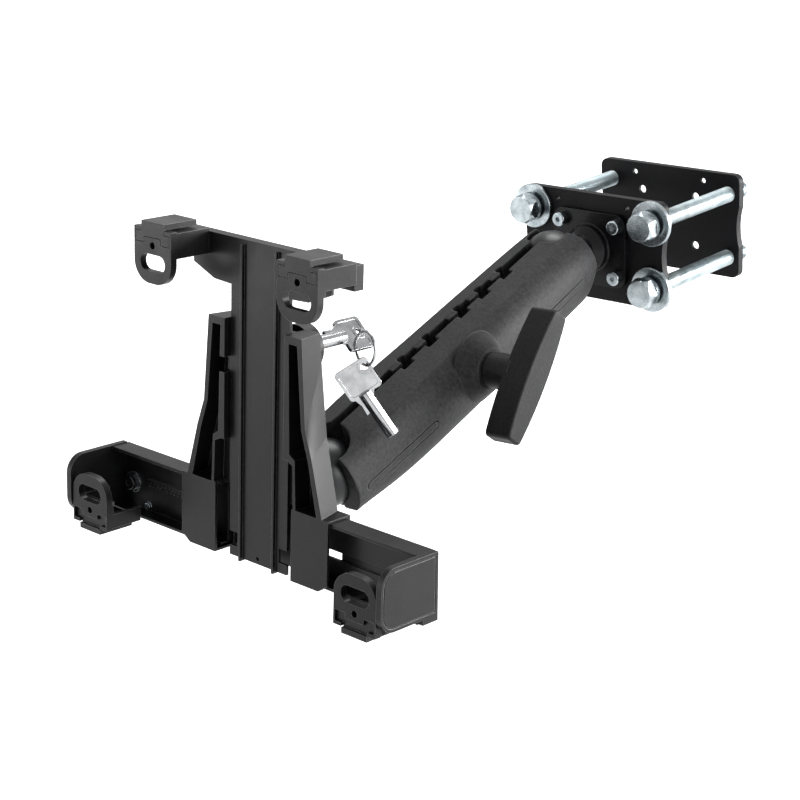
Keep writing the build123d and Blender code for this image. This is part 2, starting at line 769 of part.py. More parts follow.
def claw(back_y, bridge_side, cut_side, cut, sunk):
    with BuildPart() as body:
        with BuildSketch(plane_y(0)):
            with Locations((0, (TAB_TOP + TAB_LOW) / 2)):
                Rectangle(2 * TAB_HALF, TAB_TOP - TAB_LOW)
            fillet(vertices().group_by(Axis.Y)[0], TAB_CORNER)
            with Locations((0, SLOT_Z)):
                SlotOverall(SLOT_L, SLOT_H, mode=Mode.SUBTRACT)
            Circle(CLAW_HOLE_R, mode=Mode.SUBTRACT)
        extrude(amount=-TAB_T)
        block(-TAB_HALF, TAB_HALF, TAB_T, back_y, ARM_Z0, ARM_Z1)
        if bridge_side:
            bridge = bridge_side * TAB_HALF
            block(bridge, bridge + bridge_side * CAP_BRIDGE, TAB_T + BRIDGE_FROM, back_y, ARM_Z0, ARM_Z1)
        block(
            -TAB_HALF + ARM_WALL,
            TAB_HALF - ARM_WALL,
            TAB_T + ARM_WALL,
            back_y + 1,
            ARM_Z0 - 1,
            ARM_Z1 - ARM_WALL,
            mode=Mode.SUBTRACT,
        )
        block(
            cut_side * (TAB_HALF - ARM_WALL - RUN),
            cut_side * (TAB_HALF + 1),
            TAB_T + CUT_FROM,
            back_y + 1,
            ARM_Z0 - 1,
            ARM_Z0 + cut,
            mode=Mode.SUBTRACT,
        )
        with BuildSketch(plane_y(0)):
            Polygon(*KEY_OUTLINE, align=None)
            offset(amount=KEY_GAP, kind=Kind.INTERSECTION)
        extrude(amount=-KEY_T - KEY_GAP - sunk, mode=Mode.SUBTRACT)
        with BuildSketch(plane_y(TAB_T - SLOT_RIM_T)):
            with Locations((0, SLOT_Z + SLOT_RIM_UP)):
                SlotOverall(SLOT_L + 2 * SLOT_RIM, SLOT_H + 2 * SLOT_RIM)
                SlotOverall(SLOT_L, SLOT_H, mode=Mode.SUBTRACT)
    return body.part


def claw_key(sunk):
    with BuildPart() as key:
        with BuildSketch(plane_y(sunk)):
            Polygon(*KEY_OUTLINE, align=None)
        extrude(amount=-KEY_T)
        block(-KEY_HALF, KEY_HALF, 0, KEY_DEEP, TAB_TOP + KEY_GAP, KEY_TOP)
    return key.part


def upper_spot(side):
    return HOLDER * Pos(side * CLAW_UP_X, 0, CLAW_UP_Z)


def lower_spot(side):
    return HOLDER * Pos(side * CLAW_LOW_X, CLAW_LOW_Y, CLAW_LOW_Z) * Rot(0, 180, 0)


upper_claw_left = claw(ARM_UP_Y, 0, -1, UP_CUT, 0).moved(upper_spot(-1))
upper_claw_right = claw(ARM_UP_Y, 0, 1, UP_CUT, 0).moved(upper_spot(1))
lower_claw_left = claw(ARM_LOW_Y, 1, -1, LOW_CUT, KEY_SUNK).moved(lower_spot(-1))
lower_claw_right = claw(ARM_LOW_Y, -1, 1, LOW_CUT, KEY_SUNK).moved(lower_spot(1))
upper_key_left = claw_key(0).moved(upper_spot(-1))
upper_key_right = claw_key(0).moved(upper_spot(1))
lower_key_left = claw_key(KEY_SUNK).moved(lower_spot(-1))
lower_key_right = claw_key(KEY_SUNK).moved(lower_spot(1))


# End arms: channels open to the front that slide in the sleeves; the left one is toothed, the right one slit
def end_arm(side):
    with BuildPart() as rail:
        block(side * RAIL_IN, side * RAIL_OUT, RAIL_Y0, RAIL_Y1, RAIL_LOW, RAIL_TOP)
        block(side * FLANGE_IN, side * RAIL_OUT, RAIL_FOOT_Y0, RAIL_Y1, RAIL_LOW, RAIL_LOW + RAIL_FOOT)
        block(side * FLANGE_IN, side * RAIL_OUT, RAIL_FLANGE_Y0, RAIL_Y1, RAIL_TOP - RAIL_LIP, RAIL_TOP)
        block(
            side * (RAIL_IN - 1),
            side * RAIL_OUT,
            RAIL_Y0 - 1,
            RAIL_Y1 - RAIL_WALL,
            RAIL_LOW + RAIL_FOOT,
            RAIL_TOP - RAIL_LIP,
            mode=Mode.SUBTRACT,
        )
        if side < 0:
            block(
                -RACK_X1,
                -RACK_X0,
                RAIL_Y1 - RAIL_WALL - RACK_D,
                RAIL_Y1 - RAIL_WALL,
                RACK_Z + RACK_H / 2,
                RACK_Z + RACK_H,
            )
            count = int((RACK_X1 - RACK_X0) / RACK_PITCH)
            for i in range(count):
                x = -RACK_X1 + i * RACK_PITCH
                with BuildSketch(plane_y(RAIL_Y1 - RAIL_WALL - RACK_D)):
                    Polygon(
                        (x, RACK_Z + RACK_H / 2),
                        (x + RACK_PITCH, RACK_Z + RACK_H / 2),
                        (x + RACK_PITCH * (1 - TOOTH_ROOT_SHARE), RACK_Z - RACK_H / 2),
                        (x + RACK_PITCH * TOOTH_ROOT_SHARE, RACK_Z - RACK_H / 2),
                        align=None,
                    )
                extrude(amount=-RACK_D)
        else:
            for x1, y1 in ((WINDOW_X1, RAIL_Y1 + 1), (SLIT_X1, RAIL_Y1 - RAIL_WALL + SLIT_D)):
                block(
                    SLIT_X0,
                    x1,
                    RAIL_Y0,
                    y1,
                    SLIT_Z - SLIT_H / 2,
                    SLIT_Z + SLIT_H / 2,
                    mode=Mode.SUBTRACT,
                )
        if side < 0:
            with BuildSketch(plane_y(RAIL_Y1)):
                with Locations((-RAIL_SCREW_X, RAIL_SCREW_Z), (-RIVET_X, RIVET_Z)):
                    Circle(SCREW_R + SLIDE)
            extrude(amount=RAIL_WALL + 1, mode=Mode.SUBTRACT)
    return rail.part.moved(HOLDER)


end_arm_left = end_arm(-1)
end_arm_right = end_arm(1)


def end_cap(side):
    outer = side * CAP_OUT
    inner = side * RAIL_OUT
    with BuildPart() as cap:
        with BuildSketch(Plane.YZ.offset(outer)):
            Polygon(
                (CAP_Y0, CAP_LOW),
                (CAP_Y0, CAP_TOP),
                (CAP_TOP_Y1, CAP_TOP),
                (RAIL_Y1, CAP_FOOT_Z),
                (CAP_FOOT_Y, CAP_FOOT_Z),
                (CAP_FOOT_Y, CAP_LOW),
                align=None,
            )
            fillet(vertices().group_by(Axis.X)[0], CAP_R)
        extrude(amount=inner - outer)
        with BuildSketch(Plane.YZ.offset(outer)):
            Polygon(
                (CAP_Y0, CAP_LOW),
                (CAP_Y0, CAP_TOP),
                (CAP_TOP_Y1, CAP_TOP),
                (RAIL_Y1, CAP_LOW),
                align=None,
            )
            fillet(vertices().group_by(Axis.X)[0], CAP_R)
            offset(amount=-RIM_W)
            offset(amount=-RIM_D, mode=Mode.SUBTRACT)
        extrude(amount=-side * RIM_D / 2, mode=Mode.SUBTRACT)
    return cap.part.moved(HOLDER)


end_cap_left = end_cap(-1)
end_cap_right = end_cap(1)


def round_head(x, z, head_out, socket_r, head_t, lift):
    # Screw seated on the rear wall of the left end arm, or on its washer, facing the device
    face = RAIL_Y1 - RAIL_WALL - lift
    with BuildPart() as screw:
        with BuildSketch(plane_y(face)):
            with Locations((x, z)):
                Circle(head_out)
        extrude(amount=head_t)
        fillet(screw.faces().sort_by(Axis.Y)[0].edges(), min(head_t, head_out) * HEAD_ROUND)
        with BuildSketch(plane_y(face)):
            with Locations((x, z)):
                Circle(SCREW_R)
        extrude(amount=-RAIL_WALL - lift)
        if socket_r:
            with BuildSketch(plane_y(face - head_t)):
                with Locations((x, z)):
                    RegularPolygon(socket_r, 6)
            extrude(amount=-head_t * SOCKET_SHARE, mode=Mode.SUBTRACT)
    return screw.part.moved(HOLDER)


with BuildPart() as rail_disc:
    with BuildSketch(plane_y(RAIL_Y1 - RAIL_WALL)):
        with Locations((-RAIL_SCREW_X, RAIL_SCREW_Z)):
            Circle(RAIL_WASHER_R)
            Circle(SCREW_R + SEAT, mode=Mode.SUBTRACT)
    extrude(amount=WASHER_T)
rail_washer = rail_disc.part.moved(HOLDER)
rail_screw = round_head(-RAIL_SCREW_X, RAIL_SCREW_Z, SCREW_HEAD_R, SCREW_SOCKET_R, RAIL_HEAD_T, WASHER_T)
rail_rivet = round_head(-RIVET_X, RIVET_Z, RIVET_R, 0, RIVET_T, 0)

# Housing: back plate, two tapered wings, centre guide and two sleeves round the end arms
WING_EDGE = ((34.0, WING_TOP), (37.5, -4.0), (42.5, WING_STEP_Z), (50.5, WING_LOW))
BACK_EDGE = ((31.0, WING_TOP), (32.5, 27.0), (37.0, -10.4), (46.0, WING_LOW))
WING_RECESS = (
    (24.9, 38.8),
    (31.0, 38.8),
    (34.8, -4.0),
    (39.8, -19.5),
    (47.0, WING_LOW - 1),
    (31.4, WING_LOW - 1),
    (30.4, -21.5),
    (26.4, -19.0),
)
RECESS_D = 11.0
WING_STEP = (
    (24.6, -22.5),
    (29.0, -24.5),
    (29.8, WING_LOW - 1),
    (WING_IN - 1, WING_LOW - 1),
    (WING_IN - 1, -22.5),
)
STEP_D = 7.0
LATCH_X = 25.6
LATCH_Z = (13.8, 22.0)


def wing(side):
    with BuildPart() as body:
        with BuildSketch(plane_y(HOUSE_Y0)):
            Polygon(
                *[(side * x, z) for x, z in ((WING_IN, WING_TOP),) + WING_EDGE + ((WING_IN, WING_LOW),)],
                align=None,
            )
        with BuildSketch(plane_y(HOUSE_Y1)):
            Polygon(
                *[(side * x, z) for x, z in ((WING_IN, WING_TOP),) + BACK_EDGE + ((WING_IN, WING_LOW),)],
                align=None,
            )
        loft(ruled=True)
        with BuildSketch(plane_y(HOUSE_Y0)):
            Polygon(
                *[(side * x, z) for x, z in WING_RECESS],
                align=None,
            )
        extrude(amount=-RECESS_D, mode=Mode.SUBTRACT)
        with BuildSketch(plane_y(HOUSE_Y0)):
            Polygon(
                *[(side * x, z) for x, z in WING_STEP],
                align=None,
            )
        extrude(amount=-STEP_D, mode=Mode.SUBTRACT)
        if side < 0:
            block(-LATCH_X, 1 - WING_IN, HOUSE_Y0 - 1, GUIDE_Y0, *LATCH_Z, mode=Mode.SUBTRACT)
    return body.part


with BuildPart() as housing:
    with BuildSketch(plane_y(HOUSE_BACK_Y)):
        back_right = ((0, WING_TOP),) + BACK_EDGE + ((0, WING_LOW),)
        Polygon(*back_right, align=None)
        Polygon(*mirrored(back_right), align=None)
        with Locations((0, (SLEEVE_TOP + SLEEVE_LOW) / 2)):
            Rectangle(2 * SLEEVE_OUT, SLEEVE_TOP - SLEEVE_LOW)
    extrude(amount=HOUSE_BACK_Y - HOUSE_Y1)
    for side in (-1, 1):
        add(wing(side))
        block(side * COL_HALF, side * (WING_IN + GUIDE_LAP), GUIDE_Y0 + GUIDE_LAP, HOUSE_Y1, WING_LOW, WING_TOP)
        block(
            side * (COL_BLIND_HALF + SLIDE),
            side * (WING_IN + GUIDE_LAP),
            GUIDE_Y0,
            GUIDE_Y1,
            COL_BLIND_LOW - GUIDE_UNDER,
            WING_TOP,
        )
        block(
            side * (COL_BLIND_HALF + SLIDE),
            side * (COL_BLIND_HALF + GUIDE_POST),
            GUIDE_Y0,
            HOUSE_Y1,
            COL_BLIND_LOW - GUIDE_UNDER,
            WING_TOP,
        )
        block(side * SLEEVE_IN, side * SLEEVE_OUT, HOUSE_Y0, HOUSE_Y1, SLEEVE_LOW, SLEEVE_TOP)
        block(
            side * (SLEEVE_IN - 1),
            side * (SLEEVE_OUT + 1),
            HOUSE_Y0 + SLEEVE_WALL,
            RAIL_Y1 + SLIDE,
            RAIL_LOW - SLIDE,
            RAIL_TOP + SLIDE,
            mode=Mode.SUBTRACT,
        )
        block(
            side * BACK_WINDOW[0],
            side * BACK_WINDOW[1],
            RAIL_Y1,
            HOUSE_Y1 + 1,
            BACK_WINDOW[2],
            BACK_WINDOW[3],
            mode=Mode.SUBTRACT,
        )
        corner = side * SLEEVE_OUT
        with BuildSketch(plane_y(HOUSE_Y0 - 1)):
            Polygon(
                (corner, SLEEVE_LOW),
                (corner, SLEEVE_LOW + SLEEVE_CHAMFER),
                (corner - side * SLEEVE_CHAMFER_X, SLEEVE_LOW),
                align=None,
            )
        extrude(amount=-(HOUSE_Y1 - HOUSE_Y0 + 2), mode=Mode.SUBTRACT)
    # Lock barrel housing, with the keyway side facing the arm
    with BuildSketch(plane_y(HOUSE_BACK_Y)):
        with Locations((LOCK_X, LOCK_Z)):
            Circle(LOCK_R)
    extrude(amount=HOUSE_BACK_Y - LOCK_Y1)
    with BuildSketch(plane_y(PLUG_Y0)):
        with Locations((LOCK_X, LOCK_Z)):
            Circle(PLUG_R + RUN)
    extrude(amount=PLUG_Y0 - LOCK_Y1 - 1, mode=Mode.SUBTRACT)
    with BuildSketch(plane_y(HOUSE_Y1)):
        with Locations((0, FRONT_BALL_Z)):
            with Locations(*half_points(BASE_SPAN_X, BASE_SPAN_Z)):
                Circle(BASE_HOLE_R)
    extrude(amount=HOUSE_Y1 - HOUSE_BACK_Y + SLIDE, mode=Mode.SUBTRACT)
holder_housing = housing.part.moved(HOLDER)


# Lock plug with its tubular key, the ring and the spare key
with BuildPart() as plug:
    with BuildSketch(plane_y(PLUG_Y0 + SLIDE)):
        with Locations((LOCK_X, LOCK_Z)):
            Circle(PLUG_R)
    extrude(amount=PLUG_Y0 + SLIDE - PLUG_Y1)
    with BuildSketch(plane_y(PLUG_Y1)):
        with Locations((LOCK_X, LOCK_Z)):
            Circle(TUBE_R + SEAT)
            Circle(TUBE_BORE_R - SEAT, mode=Mode.SUBTRACT)
    extrude(amount=PLUG_SLOT, mode=Mode.SUBTRACT)
lock_plug = plug.part.moved(HOLDER)


def key_blank(eye, shift):
    # Upright key: the bow stands on the XZ plane above the origin and the tube hangs below it
    with BuildPart() as key:
        with BuildSketch(Plane.XZ.offset(-BOW_T / 2)):
            with Locations((0, BOW_H / 2)):
                RectangleRounded(BOW_W, BOW_H, BOW_R)
            Polygon(
                (-BOW_W * NECK_SHARE[0], BOW_R),
                (BOW_W * NECK_SHARE[1], BOW_R),
                (shift + TUBE_R * BLADE_SHARE, BLADE_Z[0]),
                (shift + TUBE_R * BLADE_SHARE, BLADE_Z[1]),
                (shift - TUBE_R - BLADE_OUT[1], BLADE_Z[2]),
                (shift - TUBE_R - BLADE_OUT[0], BLADE_Z[3]),
                align=None,
            )
            with Locations(eye):
                Circle(EYE_R, mode=Mode.SUBTRACT)
        extrude(amount=BOW_T)
        for face in (-1, 1):
            with BuildSketch(Plane.XZ.offset(face * BOW_T / 2)):
                with Locations((0, BOW_H / 2)):
                    RectangleRounded(BOW_W - 2 * BOW_RIM, BOW_H - 2 * BOW_RIM, BOW_R)
                with Locations(eye):
                    Circle(EYE_R + BOW_RIM, mode=Mode.SUBTRACT)
            extrude(amount=-face * BOW_SINK, mode=Mode.SUBTRACT)
        with BuildSketch(Plane.XY.offset(-TUBE_L)):
            with Locations((shift, 0)):
                Circle(TUBE_R)
        extrude(amount=TUBE_L + TUBE_LAP)
        with BuildSketch(Plane.XY.offset(-TUBE_L)):
            with Locations((shift, 0)):
                Circle(TUBE_BORE_R)
        extrude(amount=TUBE_BORE_L, mode=Mode.SUBTRACT)
        with Locations((shift + TUBE_R, 0, -TUBE_L)):
            Box(*TUBE_NICK, mode=Mode.SUBTRACT)
    return key.part


KEY_IN = Plane(origin=(LOCK_X, KEY_IN_Y, LOCK_Z), x_dir=KEY_LEAN, z_dir=(0, 1, 0)).location
SPARE = Pos(*SPARE_POS) * Rot(0, 0, SPARE_YAW) * Rot(0, SPARE_SWING, 0)
key_in_lock = key_blank(KEY_IN_EYE, 0).moved(HOLDER * KEY_IN)
spare_key = key_blank(SPARE_EYE, SPARE_SHIFT).moved(HOLDER * SPARE * Pos(0, 0, -BOW_H / 2))

with BuildPart() as ring:
    Torus(RING_R, RING_WIRE)
key_ring = ring.part.moved(HOLDER * Plane(origin=RING_POS, z_dir=RING_AXIS).location)

# Every piece to its own file
PIECES = {
    "front_plate": front_plate,
    "back_plate": back_plate,
    "clamp_bolts": clamp_bolts.part,
    "flat_washers": flat_washers.part,
    "spring_washers": spring_washers.part,
    "rear_ball_base": rear_ball_base,
    "rear_base_screws": rear_base_screws,
    "rear_ball": rear_ball,
    "arm_half_far": arm_half_far,
    "arm_half_near": arm_half_near,
    "arm_spring": arm_spring,
    "arm_nut": arm_nut,
    "knob_handle": knob_handle,
    "knob_stud": knob_stud,
    "knob_washer": knob_washer,
    "front_ball": front_ball,
    "holder_ball_base": holder_ball_base,
    "holder_base_screws": holder_base_screws,
    "holder_housing": holder_housing,
    "column_slide": column_slide,
    "upper_claw_left": upper_claw_left,
    "upper_claw_right": upper_claw_right,
    "upper_key_left": upper_key_left,
    "upper_key_right": upper_key_right,
    "lower_claw_left": lower_claw_left,
    "lower_claw_right": lower_claw_right,
    "lower_key_left": lower_key_left,
    "lower_key_right": lower_key_right,
    "end_arm_left": end_arm_left,
    "end_arm_right": end_arm_right,
    "end_cap_left": end_cap_left,
    "end_cap_right": end_cap_right,
    "rail_screw": rail_screw,
    "rail_washer": rail_washer,
    "rail_rivet": rail_rivet,
    "lock_plug": lock_plug,
    "key_in_lock": key_in_lock,
    "key_ring": key_ring,
    "spare_key": spare_key,
}
for label, piece in PIECES.items():
    piece.label = label
    export_step(piece, "parts/" + label + ".step")
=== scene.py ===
import json
import math

import bmesh
import bpy
from mathutils import Matrix, Vector


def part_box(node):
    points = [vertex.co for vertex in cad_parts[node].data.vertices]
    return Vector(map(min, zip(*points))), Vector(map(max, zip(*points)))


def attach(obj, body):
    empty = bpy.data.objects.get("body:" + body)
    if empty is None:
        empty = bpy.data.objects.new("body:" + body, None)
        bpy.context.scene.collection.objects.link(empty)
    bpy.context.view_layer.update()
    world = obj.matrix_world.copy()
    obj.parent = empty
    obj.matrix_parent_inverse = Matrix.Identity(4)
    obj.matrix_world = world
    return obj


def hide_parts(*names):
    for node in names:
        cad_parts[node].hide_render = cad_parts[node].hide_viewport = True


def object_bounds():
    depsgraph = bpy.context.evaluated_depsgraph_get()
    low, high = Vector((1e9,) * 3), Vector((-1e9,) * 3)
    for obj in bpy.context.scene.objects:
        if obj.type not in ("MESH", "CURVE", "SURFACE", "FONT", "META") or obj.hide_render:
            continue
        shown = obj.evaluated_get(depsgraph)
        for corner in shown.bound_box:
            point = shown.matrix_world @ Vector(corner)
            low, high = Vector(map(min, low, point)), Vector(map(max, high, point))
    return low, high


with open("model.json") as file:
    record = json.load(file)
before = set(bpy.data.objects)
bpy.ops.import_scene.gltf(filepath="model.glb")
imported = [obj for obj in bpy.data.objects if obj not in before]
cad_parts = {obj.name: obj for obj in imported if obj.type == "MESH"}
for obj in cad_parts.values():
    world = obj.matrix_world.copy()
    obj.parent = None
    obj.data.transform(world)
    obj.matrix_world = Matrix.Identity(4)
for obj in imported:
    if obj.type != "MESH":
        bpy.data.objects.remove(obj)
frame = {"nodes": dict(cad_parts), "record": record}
NODES = frame["nodes"]
cad_low, cad_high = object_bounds()

# Camera, at the photograph's viewing angle
CAMERA_AT = (0.70547503, -0.97177601, 0.32734467)
CAMERA_RIGHT = Vector((0.7527328, 0.65674058, -0.04566336))
CAMERA_UP = Vector((-0.18735205, 0.2801978, 0.94148202))
CAMERA_FORWARD = Vector((-0.63110422, 0.70012928, -0.33395577))
LENS = 89.84
SENSOR = 36.0

camera_data = bpy.data.cameras.new("camera")
camera_data.lens = LENS
camera_data.sensor_width = SENSOR
camera = bpy.data.objects.new("camera", camera_data)
bpy.context.scene.collection.objects.link(camera)
columns = (CAMERA_RIGHT, CAMERA_UP, -CAMERA_FORWARD)
camera.matrix_world = Matrix.Translation(CAMERA_AT) @ Matrix(columns).transposed().to_4x4()
bpy.context.scene.camera = camera
bpy.context.scene.view_settings.view_transform = "Standard"


# Materials
BEVEL_SAMPLES = 6
NOISE_LOW = 0.3
NOISE_HIGH = 0.7
DRIFT_SHARE = 0.35
SPECK_SHARE = 0.65
GRAIN_DEPTH = 0.1
DRIFT_DETAIL = 4.0
SPECK_DETAIL = 2.0
SPECK_ROUGH = 0.7
MATTE_LESS = 0.05
MATTE_MORE = 0.06
# Near-white colour painted on metal edges: a painted highlight.
METAL_EDGE_HIGHLIGHT = (0.93, 0.95, 0.96)
METAL_EDGE_GAIN = 1.2
MOULDED_DRIFT = 60.0
METAL_DRIFT = 130.0
METAL_LINES = 2600.0
METAL_DEPTH = 0.00004
METAL_BUMP = 0.15
METAL_DETAIL = 3.0
METAL_LINE_ROUGH = 0.6
METAL_LESS = 0.06
METAL_MORE = 0.1


def new_material(name):
    made = bpy.data.materials.new(name)
    made.use_nodes = True
    return made, made.node_tree.nodes, made.node_tree.links


def edge_mask(nodes, links, radius, gain):
    """A mask that is 1 on an edge and 0 on a flat face, and the rounded normal."""
    bevel = nodes.new("ShaderNodeBevel")
    bevel.samples = BEVEL_SAMPLES
    bevel.inputs["Radius"].default_value = radius
    flat = nodes.new("ShaderNodeNewGeometry")
    dot = nodes.new("ShaderNodeVectorMath")
    dot.operation = "DOT_PRODUCT"
    links.new(bevel.outputs["Normal"], dot.inputs[0])
    links.new(flat.outputs["Normal"], dot.inputs[1])
    turn = nodes.new("ShaderNodeMath")
    turn.operation = "SUBTRACT"
    turn.inputs[0].default_value = 1.0
    links.new(dot.outputs["Value"], turn.inputs[1])
    scale = nodes.new("ShaderNodeMath")
    scale.operation = "MULTIPLY"
    scale.use_clamp = True
    scale.inputs[1].default_value = gain
    links.new(turn.outputs[0], scale.inputs[0])
    return scale.outputs[0], bevel.outputs["Normal"]


def noise(nodes, links, coords, scale, detail, rough=0.55, stretch=None):
    made = nodes.new("ShaderNodeTexNoise")
    made.inputs["Scale"].default_value = scale
    made.inputs["Detail"].default_value = detail
    made.inputs["Roughness"].default_value = rough
    if stretch:
        mapping = nodes.new("ShaderNodeMapping")
        mapping.inputs["Scale"].default_value = stretch
        links.new(coords, mapping.inputs["Vector"])
        coords = mapping.outputs["Vector"]
    links.new(coords, made.inputs["Vector"])
    return made.outputs["Fac"]


def spread(nodes, links, value, low, high):
    """Maps a noise value, mostly NOISE_LOW to NOISE_HIGH, to low and high."""
    made = nodes.new("ShaderNodeMapRange")
    made.inputs["From Min"].default_value = NOISE_LOW
    made.inputs["From Max"].default_value = NOISE_HIGH
    made.inputs["To Min"].default_value = low
    made.inputs["To Max"].default_value = high
    links.new(value, made.inputs["Value"])
    return made.outputs["Result"]


def mix_color(nodes, links, fac, a, b):
    made = nodes.new("ShaderNodeMix")
    made.data_type = "RGBA"
    links.new(fac, made.inputs["Factor"])
    for value, socket in ((a, made.inputs[6]), (b, made.inputs[7])):
        if isinstance(value, tuple):
            socket.default_value = (*value, 1.0)
        else:
            links.new(value, socket)
    return made.outputs[2]


def moulded(name, dark, light, edge, rough, grain, bump, edge_gain=2.4, edge_radius=0.0004, gloss=0.5):
    """Moulded plastic or coated metal: fine grain, slow colour drift, and paler edges that are a
    painted highlight.
    """
    made, nodes, links = new_material(name)
    shader = nodes["Principled BSDF"]
    coords = nodes.new("ShaderNodeTexCoord").outputs["Object"]
    mask, normal = edge_mask(nodes, links, edge_radius, edge_gain)
    shader.inputs["Specular IOR Level"].default_value = gloss
    drift = noise(nodes, links, coords, MOULDED_DRIFT, DRIFT_DETAIL)
    speck = noise(nodes, links, coords, grain, SPECK_DETAIL, SPECK_ROUGH)
    both = nodes.new("ShaderNodeMath")
    both.operation = "MULTIPLY_ADD"
    both.inputs[1].default_value = DRIFT_SHARE
    both.inputs[2].default_value = 0.0
    links.new(drift, both.inputs[0])
    total = nodes.new("ShaderNodeMath")
    total.operation = "MULTIPLY_ADD"
    total.inputs[1].default_value = SPECK_SHARE
    links.new(speck, total.inputs[0])
    links.new(both.outputs[0], total.inputs[2])
    face = mix_color(nodes, links, spread(nodes, links, total.outputs[0], 0.0, 1.0), dark, light)
    # The edge colour, mixed in along edges and creases by the edge mask, is a painted highlight.
    links.new(mix_color(nodes, links, mask, face, edge), shader.inputs["Base Color"])
    matte = spread(nodes, links, drift, rough - MATTE_LESS, rough + MATTE_MORE)
    links.new(matte, shader.inputs["Roughness"])
    raised = nodes.new("ShaderNodeBump")
    raised.inputs["Strength"].default_value = bump
    raised.inputs["Distance"].default_value = GRAIN_DEPTH / grain
    links.new(speck, raised.inputs["Height"])
    links.new(normal, raised.inputs["Normal"])
    links.new(raised.outputs["Normal"], shader.inputs["Normal"])
    return made


def plated(name, base, tint, rough, edge_radius=0.00025, streak=(1.0, 1.0, 1.0)):
    """Plated or polished metal with fine streaks and a tint that drifts over it."""
    made, nodes, links = new_material(name)
    shader = nodes["Principled BSDF"]
    shader.inputs["Metallic"].default_value = 1.0
    coords = nodes.new("ShaderNodeTexCoord").outputs["Object"]
    drift = noise(nodes, links, coords, METAL_DRIFT, METAL_DETAIL)
    lines = noise(nodes, links, coords, METAL_LINES, METAL_DETAIL, METAL_LINE_ROUGH, streak)
    face = mix_color(nodes, links, spread(nodes, links, drift, 0.0, 1.0), base, tint)
    if edge_radius:
        mask, normal = edge_mask(nodes, links, edge_radius, METAL_EDGE_GAIN)
        # Edges mixed towards a near-white colour: a painted highlight.
        face = mix_color(nodes, links, mask, face, METAL_EDGE_HIGHLIGHT)
    links.new(face, shader.inputs["Base Color"])
    matte = spread(nodes, links, lines, rough - METAL_LESS, rough + METAL_MORE)
    links.new(matte, shader.inputs["Roughness"])
    raised = nodes.new("ShaderNodeBump")
    raised.inputs["Strength"].default_value = METAL_BUMP
    raised.inputs["Distance"].default_value = METAL_DEPTH
    links.new(lines, raised.inputs["Height"])
    if edge_radius:
        links.new(normal, raised.inputs["Normal"])
    links.new(raised.outputs["Normal"], shader.inputs["Normal"])
    return made


# In each look, edge is the colour of the painted highlight along edges and creases.
LOOKS = {
    "plate_black": moulded(
        "plate_coat",
        dark=(0.004, 0.004, 0.005),
        light=(0.008, 0.008, 0.009),
        edge=(0.02, 0.02, 0.02),
        rough=0.5,
        grain=1800.0,
        bump=0.2,
        gloss=0.1,
    ),
    "base_black": moulded(
        "base_coat",
        dark=(0.004, 0.004, 0.005),
        light=(0.007, 0.007, 0.008),
        edge=(0.03, 0.03, 0.03),
        rough=0.25,
        grain=1600.0,
        bump=0.12,
        gloss=0.15,
    ),
    "ball_rubber": moulded(
        "ball_cover",
        dark=(0.008, 0.009, 0.010),
        light=(0.014, 0.015, 0.016),
        edge=(0.03, 0.03, 0.03),
        rough=0.34,
        grain=1400.0,
        bump=0.15,
        gloss=0.3,
    ),
    "arm_charcoal": moulded(
        "arm_composite",
        dark=(0.003, 0.003, 0.0035),
        light=(0.029, 0.029, 0.030),
        edge=(0.10, 0.10, 0.10),
        rough=0.62,
        grain=480.0,
        bump=1.0,
        edge_gain=2.4,
        edge_radius=0.0014,
        gloss=0.16,
    ),
    "knob_plastic": moulded(
        "knob_composite",
        dark=(0.004, 0.004, 0.004),
        light=(0.014, 0.014, 0.015),
        edge=(0.06, 0.06, 0.06),
        rough=0.55,
        grain=620.0,
        bump=0.7,
        edge_gain=3.0,
        edge_radius=0.0008,
        gloss=0.13,
    ),
    "holder_plastic": moulded(
        "holder_moulding",
        dark=(0.003, 0.003, 0.003),
        light=(0.009, 0.009, 0.009),
        edge=(0.22, 0.22, 0.22),
        rough=0.4,
        grain=1000.0,
        bump=0.35,
        edge_gain=3.0,
        gloss=0.19,
    ),
    "claw_plastic": moulded(
        "claw_moulding",
        dark=(0.004, 0.004, 0.004),
        light=(0.014, 0.014, 0.014),
        edge=(0.28, 0.28, 0.28),
        rough=0.35,
        grain=1000.0,
        bump=0.35,
        edge_gain=3.4,
        gloss=0.16,
    ),
    "key_plastic": moulded(
        "inlay_moulding",
        dark=(0.006, 0.006, 0.006),
        light=(0.018, 0.018, 0.018),
        edge=(0.28, 0.28, 0.28),
        rough=0.38,
        grain=1000.0,
        bump=0.35,
        edge_gain=3.4,
        gloss=0.18,
    ),
    "black_steel": moulded(
        "black_oxide",
        dark=(0.005, 0.005, 0.006),
        light=(0.012, 0.012, 0.013),
        edge=(0.3, 0.3, 0.3),
        rough=0.26,
        grain=2400.0,
        bump=0.2,
        gloss=0.4,
    ),
    "zinc_steel": plated(
        "zinc_plate",
        base=(0.20, 0.235, 0.25),
        tint=(0.44, 0.48, 0.50),
        rough=0.24,
    ),
    "inner_steel": plated(
        "plain_steel",
        base=(0.25, 0.25, 0.26),
        tint=(0.34, 0.34, 0.35),
        rough=0.35,
    ),
    "chrome": plated(
        "nickel_plate",
        base=(0.27, 0.275, 0.28),
        tint=(0.42, 0.43, 0.44),
        rough=0.12,
        streak=(1.0, 1.0, 0.2),
    ),
}
SLOT_OF = {part["node"]: part["material_slot"] for part in frame["record"]["subparts"]}
for node_name, node in NODES.items():
    look = LOOKS[SLOT_OF[node_name]]
    if not node.data.materials:
        node.data.materials.append(look)
    for index in range(len(node.data.materials)):
        node.data.materials[index] = look


